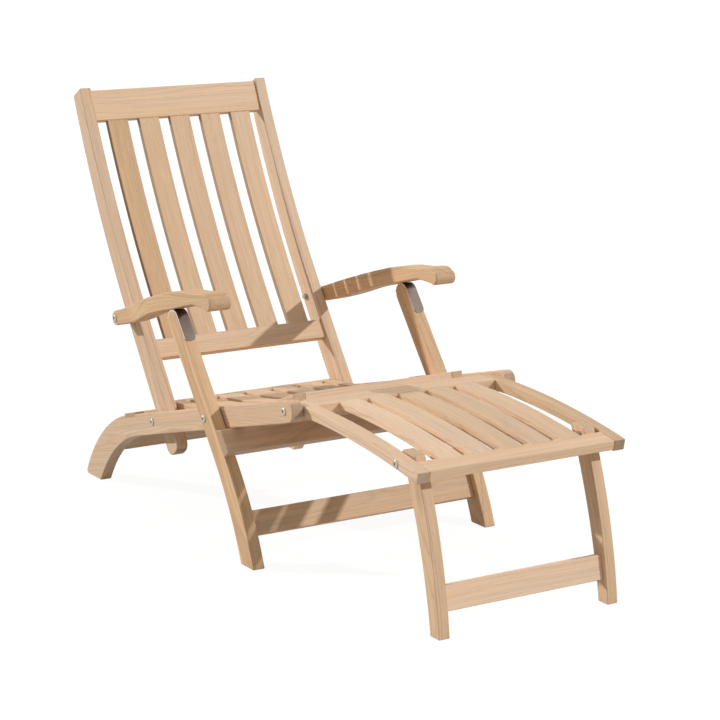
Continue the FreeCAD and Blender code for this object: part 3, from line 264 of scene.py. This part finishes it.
def teak_group():
    """Teak as a solid block: rings round a far heart, fibres and pores along the board."""
    group = bpy.data.node_groups.new("teak", "ShaderNodeTree")
    for name, kind in (("Turn", "Vector"), ("Cut", "Vector"), ("Ring", "Float"),
                       ("Figure", "Float"), ("Sway", "Float"), ("Tone", "Float"),
                       ("Warmth", "Float"), ("End", "Float"), ("Side", "Float")):
        group.interface.new_socket(name, in_out="INPUT", socket_type=f"NodeSocket{kind}")
    for name, kind in (("Color", "Color"), ("Roughness", "Float"), ("Height", "Float")):
        group.interface.new_socket(name, in_out="OUTPUT", socket_type=f"NodeSocket{kind}")
    t = Tree(group)
    given = t.add("NodeGroupInput").outputs
    coords = t.add("ShaderNodeTexCoord").outputs

    board = t.add("ShaderNodeMapping", {"Vector": coords["Object"], "Rotation": given["Turn"],
                                        "Location": given["Cut"]}).outputs[0]
    normal = t.add("ShaderNodeMapping", {"Vector": coords["Normal"], "Rotation": given["Turn"]},
                   vector_type="VECTOR").outputs[0]
    facing = t.parts(normal)
    end_grain = t.product(given["End"], t.remap(t.math("ABSOLUTE", facing[0]), *END_FACING))
    # Painted shade: the sides of the backrest slats are darkened as if in the shade between them
    painted_side_shade = t.product(given["Side"], t.remap(t.math("ABSOLUTE", facing[1]), *SHADED_SIDE_FACING))

    ring = ring_shade(t, board, given)
    fibre = t.noise(board, FIBRE, detail=3.0, roughness=0.6)[0]
    streak = t.noise(board, STREAK)[0]
    bands = t.noise(board, BAND, detail=1.0)[0]
    pores = t.remap(t.noise(board, PORE, detail=1.0)[0], *PORE_LEVELS)
    pore = t.product(pores, t.math("ADD", t.product(ring, 1 - PORE_FLOOR), PORE_FLOOR))

    warm = t.math("ADD", t.product(given["Warmth"], 0.5), t.around_middle(bands, BAND_WARMTH))
    warm = t.remap(warm, -1.0, 1.0)
    figure = t.product(given["Figure"], ring)
    colour = t.mix(figure, t.mix(warm, *LIGHT_WOOD), t.mix(warm, *DEEP_WOOD))
    colour = t.mix(t.product(end_grain, END_TINT), colour, END_WOOD)

    shade = t.math("ADD", 1.0, t.around_middle(fibre, FIBRE_SHADE))
    shade = t.math("ADD", shade, t.around_middle(streak, STREAK_SHADE))
    shade = t.math("ADD", shade, given["Tone"])
    shade = t.math("SUBTRACT", shade, t.product(pore, PORE_SHADE))
    shade = t.math("SUBTRACT", shade, t.product(end_grain, END_SHADE))
    # painted shade on the backrest slats' sides
    shade = t.math("SUBTRACT", shade, painted_side_shade)
    colour = t.mix(1.0, colour, t.triple(shade), blend="MULTIPLY")

    roughness = t.math("ADD", WOOD_ROUGHNESS, t.product(fibre, FIBRE_ROUGHNESS))
    height = t.math("SUBTRACT", t.product(fibre, FIBRE_RELIEF), pore)
    height = t.math("SUBTRACT", height, t.product(ring, RING_RELIEF))
    out = t.add("NodeGroupOutput")
    for name, value in (("Color", colour), ("Roughness", roughness), ("Height", height)):
        t.feed(out.inputs[name], value)
    return group


TEAK = teak_group()


def new_material(name):
    """A new material with its node tree and its shader."""
    material = bpy.data.materials.new(name)
    material.use_nodes = True
    nodes = material.node_tree.nodes
    shader = next(n for n in nodes if n.type == "BSDF_PRINCIPLED")
    return material, Tree(material.node_tree), shader


def long_axis(node):
    """Direction of the board's length in the side view, from the spread of its mesh."""
    points = [v.co for v in node.data.vertices]
    middle = sum(points, Vector()) / len(points)
    yy = sum((p.y - middle.y) ** 2 for p in points)
    zz = sum((p.z - middle.z) ** 2 for p in points)
    yz = sum((p.y - middle.y) * (p.z - middle.z) for p in points)
    return 0.5 * math.atan2(2 * yz, yy - zz)


def joint_place(name):
    return Vector(next(j["pos_m"] for j in frame["joints"] if j["name"] == name))


def rail_slope():
    """Direction of the side rails in the side view: the line through their bolts."""
    line = joint_place("footrest_swing") - joint_place("backrest_fold")
    return math.atan2(line.z, line.y)


def kind_of(name):
    """Slat, cross board, arm, or a board on one side of the chair."""
    if name in CROSS_BOARDS:
        return "cross"
    if "_slat_" in name:
        return "slat"
    return "arm" if name.startswith("arm_") else "side"


def board_turn(name, node):
    """Turn that brings the board's length onto the X axis of the log."""
    if kind_of(name) == "cross":
        return (0.0, 0.0, 0.0)
    angle = rail_slope() if name.startswith("side_rail") else long_axis(node)
    return (-angle, 0.0, -math.pi / 2)


def teak(name, node):
    """The board's own cut of teak, with its grain along the board."""
    draw = random.Random(name)
    across, deep, ring, figure, sway = CUTS[kind_of(name)]
    turn = board_turn(name, node)
    turned = Matrix.Rotation(turn[2], 3, "Z") @ Matrix.Rotation(turn[0], 3, "X")
    low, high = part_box(name)
    heart = Vector((draw.uniform(-20, 20), draw.uniform(*across),
                    draw.choice((-1, 1)) * draw.uniform(*deep)))
    cut = heart - turned @ ((low + high) / 2)
    plain = (draw.uniform(-PLAIN_TONE, PLAIN_TONE), draw.uniform(-PLAIN_WARMTH, PLAIN_WARMTH))
    # tones that are partly the board's own colour and partly painted light and shade
    tone, warmth = TONES_AND_PAINTED_LIGHT.get(name, plain)
    end = next((share for start, share in END_GRAIN.items() if name.startswith(start)), 1.0)
    # painted shade on the sides of the backrest slats only
    side = SLAT_SIDE_SHADE if name.startswith("back_slat") else 0.0

    material, t, shader = new_material(f"teak_{name}")
    group = t.add("ShaderNodeGroup", node_tree=TEAK)
    for key, value in (("Turn", turn), ("Cut", cut), ("Ring", draw.uniform(*ring)),
                       ("Figure", draw.uniform(*figure)), ("Sway", sway), ("Tone", tone),
                       ("Warmth", warmth), ("End", end), ("Side", side)):
        group.inputs[key].default_value = value
    bump = t.add("ShaderNodeBump", {"Height": group.outputs["Height"], **WOOD_BUMP})
    t.feed(shader.inputs["Base Color"], group.outputs["Color"])
    t.feed(shader.inputs["Roughness"], group.outputs["Roughness"])
    t.feed(shader.inputs["Normal"], bump.outputs[0])
    shader.inputs["Specular IOR Level"].default_value = WOOD_GLOSS
    return material


def highlight_edges(t):
    """1 on the sides and the lower end of the straps, where a highlight is painted, otherwise 0."""
    normal = t.add("ShaderNodeTexCoord").outputs["Normal"]
    sides = t.math("ABSOLUTE", t.parts(normal)[0])
    lower = t.add("ShaderNodeVectorMath", {0: normal, 1: STRAP_END}, operation="DOT_PRODUCT")
    return t.remap(t.math("MAXIMUM", sides, lower.outputs["Value"]), *HIGHLIGHT_FACING)


def steel(name, colour, roughness, brush, edge_highlight=None):
    """Stainless steel with fine brush lines, and a painted highlight colour on the edges if given."""
    material, t, shader = new_material(name)
    place = t.add("ShaderNodeTexCoord").outputs["Object"]
    lines = t.noise(place, brush)[0]
    clouds = t.noise(place, CLOUDS, detail=3.0)[0]
    tint = t.math("ADD", STEEL_LEAST, t.product(t.math("ADD", lines, clouds), STEEL_STAIN))
    # painted highlight on the straps' sides and lower ends
    if edge_highlight is not None:
        colour = t.mix(highlight_edges(t), colour, edge_highlight)
    t.feed(shader.inputs["Base Color"], t.mix(1.0, colour, t.triple(tint), blend="MULTIPLY"))
    t.feed(shader.inputs["Roughness"], t.math("ADD", roughness, t.product(clouds, STAIN_ROUGHNESS)))
    bump = t.add("ShaderNodeBump", {"Height": lines, **STEEL_BUMP})
    t.feed(shader.inputs["Normal"], bump.outputs[0])
    shader.inputs["Metallic"].default_value = 1.0
    return material


def dress_nodes():
    slots = {row["node"]: row["material_slot"] for row in frame["record"]["subparts"]}
    bright = steel("polished_steel", *BRIGHT_STEEL)
    strap = steel("strap_steel_shaded", *SHADED_STRAP_STEEL, edge_highlight=STRAP_EDGE_HIGHLIGHT)
    for name, node in frame["nodes"].items():
        node.data.materials.clear()
        if slots[name] == "teak":
            node.data.materials.append(teak(name, node))
        else:
            node.data.materials.append(strap if name in STRAPS else bright)


def sun(name, towards, strength, softness):
    data = bpy.data.lights.new(name, "SUN")
    data.energy = strength
    data.angle = math.radians(softness)
    lamp = bpy.data.objects.new(name, data)
    bpy.context.scene.collection.objects.link(lamp)
    lamp.rotation_mode = "QUATERNION"
    lamp.rotation_quaternion = towards.to_track_quat("Z", "Y")


def seen_directly(t):
    """1 for rays from the camera and for mirror and glass rays, otherwise 0."""
    path = t.add("ShaderNodeLightPath").outputs
    seen = t.math("MAXIMUM", path["Is Camera Ray"], path["Is Glossy Ray"])
    return t.math("MAXIMUM", seen, path["Is Transmission Ray"])


def choose(t, unseen, seen):
    """One shader for the light that reaches the chair, the other for what is seen directly."""
    return t.add("ShaderNodeMixShader", {0: seen_directly(t), 1: unseen.outputs[0],
                                         2: seen.outputs[0]}).outputs[0]


def surround():
    world = bpy.data.worlds.new("surround")
    bpy.context.scene.world = world
    world.use_nodes = True
    world.node_tree.nodes.clear()
    t = Tree(world.node_tree)
    even = t.add("ShaderNodeBackground", {"Color": WHITE, "Strength": SURROUND})
    white = t.add("ShaderNodeBackground", {"Color": WHITE, "Strength": 1.0})
    t.add("ShaderNodeOutputWorld", {"Surface": choose(t, even, white)})


def matt(t, level):
    return t.add("ShaderNodeBsdfDiffuse", {"Color": (level, level, level, 1)})


def floor():
    half = FLOOR_SIZE / 2
    mesh = bpy.data.meshes.new("floor")
    corners = [(-half, -half, 0), (half, -half, 0), (half, half, 0), (-half, half, 0)]
    mesh.from_pydata(corners, [], [(0, 1, 2, 3)])
    plane = bpy.data.objects.new("floor", mesh)
    bpy.context.scene.collection.objects.link(plane)
    material = bpy.data.materials.new("floor")
    material.use_nodes = True
    material.node_tree.nodes.clear()
    t = Tree(material.node_tree)
    bounce = matt(t, FLOOR_BOUNCE)
    lit = matt(t, FLOOR_LIT)
    glow = t.add("ShaderNodeEmission", {"Color": WHITE, "Strength": FLOOR_GLOW})
    pale = t.add("ShaderNodeAddShader", {0: lit.outputs[0], 1: glow.outputs[0]})
    t.add("ShaderNodeOutputMaterial", {"Surface": choose(t, bounce, pale)})
    mesh.materials.append(material)


def camera():
    data = bpy.data.cameras.new("camera")
    data.lens = CAMERA_LENS
    data.sensor_width = CAMERA_SENSOR
    data.clip_end = CAMERA_REACH
    item = bpy.data.objects.new("camera", data)
    bpy.context.scene.collection.objects.link(item)
    azimuth = math.radians(CAMERA_AZIMUTH)
    elevation = math.radians(CAMERA_ELEVATION)
    roll = math.radians(CAMERA_ROLL)
    back = Vector((math.sin(azimuth) * math.cos(elevation),
                   -math.cos(azimuth) * math.cos(elevation), math.sin(elevation)))
    right = Vector((math.cos(azimuth), math.sin(azimuth), 0.0))
    up = back.cross(right)
    turned_right = right * math.cos(roll) + up * math.sin(roll)
    turned_up = up * math.cos(roll) - right * math.sin(roll)
    turn = Matrix((turned_right, turned_up, back)).transposed()
    place = CAMERA_TARGET + back * CAMERA_DISTANCE
    item.matrix_world = Matrix.Translation(place) @ turn.to_4x4()
    bpy.context.scene.camera = item


camera()
surround()
sun("key_light", KEY_TOWARDS, KEY_STRENGTH, KEY_SOFTNESS)
sun("side_light", SIDE_TOWARDS, SIDE_STRENGTH, SIDE_SOFTNESS)
floor()
dress_nodes()
bpy.context.scene.view_settings.view_transform = "Standard"
